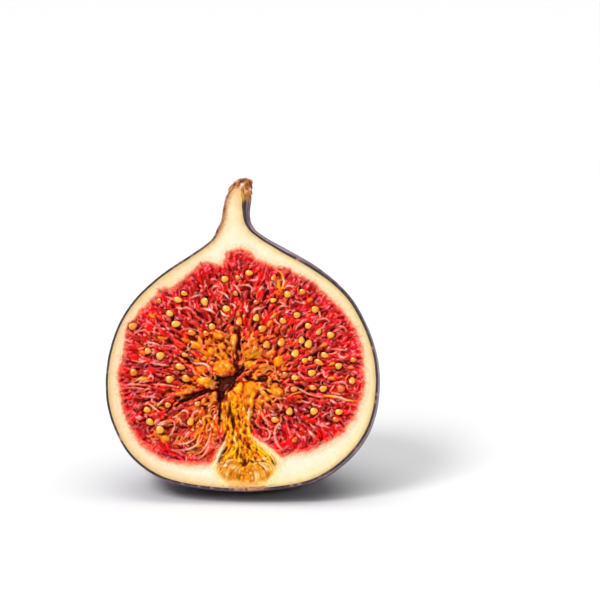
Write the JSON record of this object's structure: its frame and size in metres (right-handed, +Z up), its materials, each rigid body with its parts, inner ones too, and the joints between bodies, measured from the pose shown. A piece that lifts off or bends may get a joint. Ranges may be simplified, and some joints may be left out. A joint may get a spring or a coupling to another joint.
{
  "type": "fresh fig half",
  "caption": "Half of a ripe dark-skinned fig cut lengthwise, with pale rind, seeded red pulp, small hollow, flower-end tuft and stalk stub, standing on its settled base.",
  "frame": {"origin": "centre of the settled flat spot under the blunt flower end, on which the half stands", "axes": "+Z up from the surface it stands on; the cut face looks towards -Y and tips back 18 degrees; +X is on the right of somebody looking at the cut face"},
  "size_m": [0.0553, 0.0383, 0.0626],
  "materials": {
    "fig_skin": "dark purple-black fig skin with a thin pale lavender bloom, faint lengthwise streaks and fine pale dots",
    "fig_flesh": "moist cream-white rind, a little yellow towards the skin",
    "fig_pulp": "wet crimson and orange pulp of drawn-out gel cells, crevices and pale threads",
    "fig_seed": "small glossy golden-yellow seeds",
    "fig_stalk": "dried tan-brown end of the cut stalk"
  },
  "bodies": {
    "root": {"fig_half": "fig_skin"}
  },
  "joints": []
}
